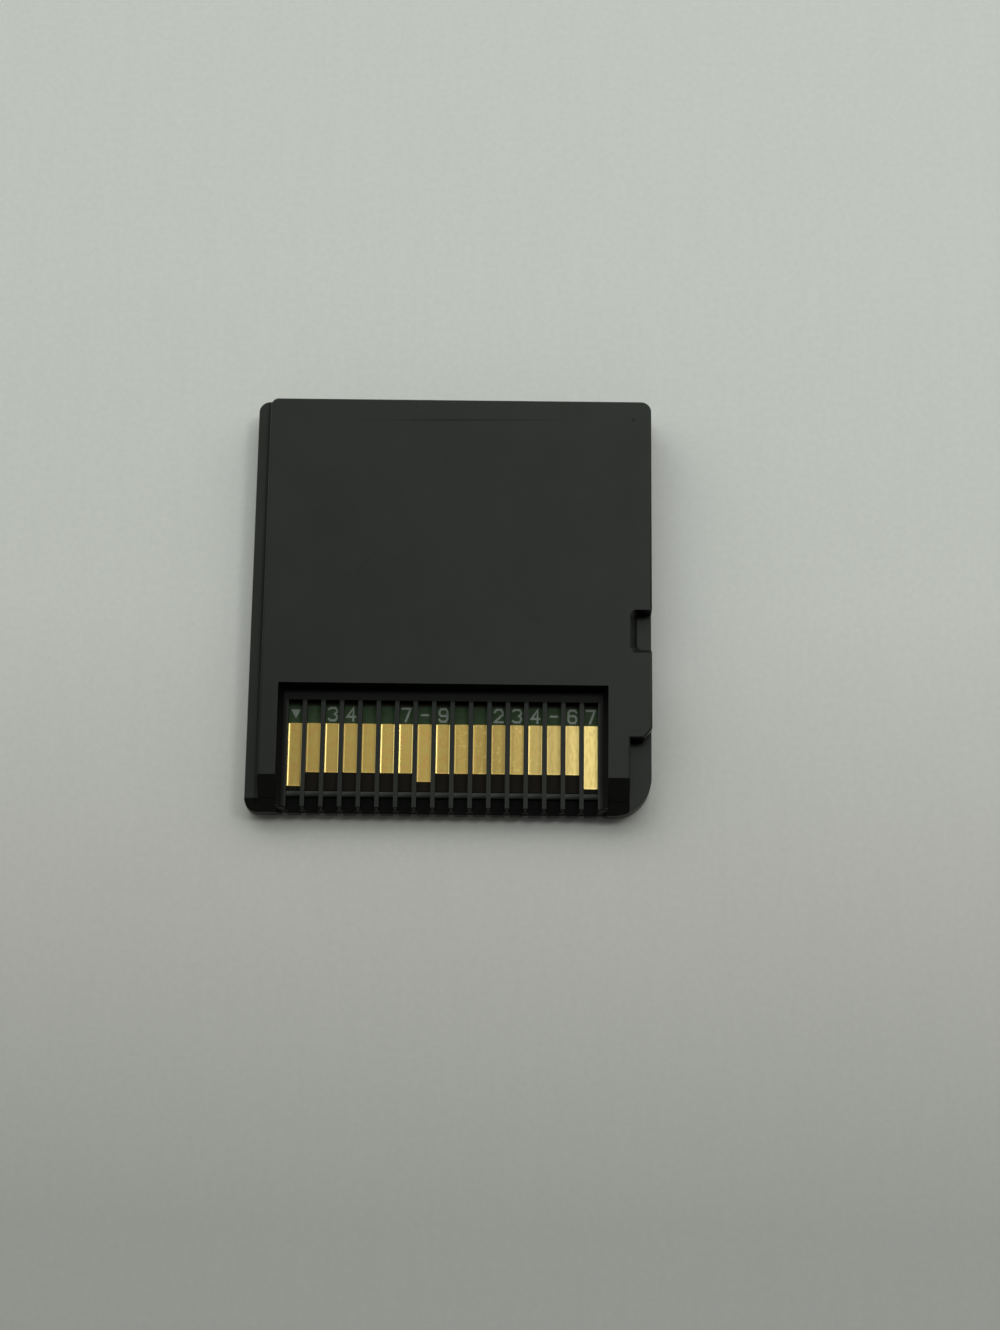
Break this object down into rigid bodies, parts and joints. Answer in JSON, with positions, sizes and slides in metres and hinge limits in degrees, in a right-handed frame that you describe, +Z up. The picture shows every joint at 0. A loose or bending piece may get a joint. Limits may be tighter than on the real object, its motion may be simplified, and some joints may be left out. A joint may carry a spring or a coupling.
{
  "type": "game cartridge",
  "caption": "Thin, nearly square plastic game card with a stepped left rail, a latch notch, a corner cut and a ribbed window over a row of gold contacts.",
  "frame": {"origin": "under the middle of the card, on the surface that it lies on, contacts up", "axes": "+X to the latch notch's side, +Y away from the contact edge, +Z up out of the contact face"},
  "size_m": [0.0328, 0.035, 0.0038],
  "materials": {
    "shell_plastic": "moulded, satin",
    "board_laminate": "solder mask",
    "gold_plating": "plated, bright",
    "chip_epoxy": "moulded, matte",
    "tinned_leads": "tinned",
    "fired_ceramic": "fired, dull",
    "resistor_body": "fired, dull"
  },
  "bodies": {
    "root": {"back_shell": "shell_plastic", "capacitor_1": "fired_ceramic", "capacitor_2": "fired_ceramic", "circuit_board": "board_laminate", "contact_01": "gold_plating", "contact_02": "gold_plating", "contact_03": "gold_plating", "contact_04": "gold_plating", "contact_05": "gold_plating", "contact_06": "gold_plating", "contact_07": "gold_plating", "contact_08": "gold_plating", "contact_09": "gold_plating", "contact_10": "gold_plating", "contact_11": "gold_plating", "contact_12": "gold_plating", "contact_13": "gold_plating", "contact_14": "gold_plating", "contact_15": "gold_plating", "contact_16": "gold_plating", "contact_17": "gold_plating", "front_shell": "shell_plastic", "resistor_1": "resistor_body", "rom_chip": "chip_epoxy", "rom_chip_leads": "tinned_leads", "save_chip": "chip_epoxy", "save_chip_leads": "tinned_leads"}
  },
  "joints": []
}
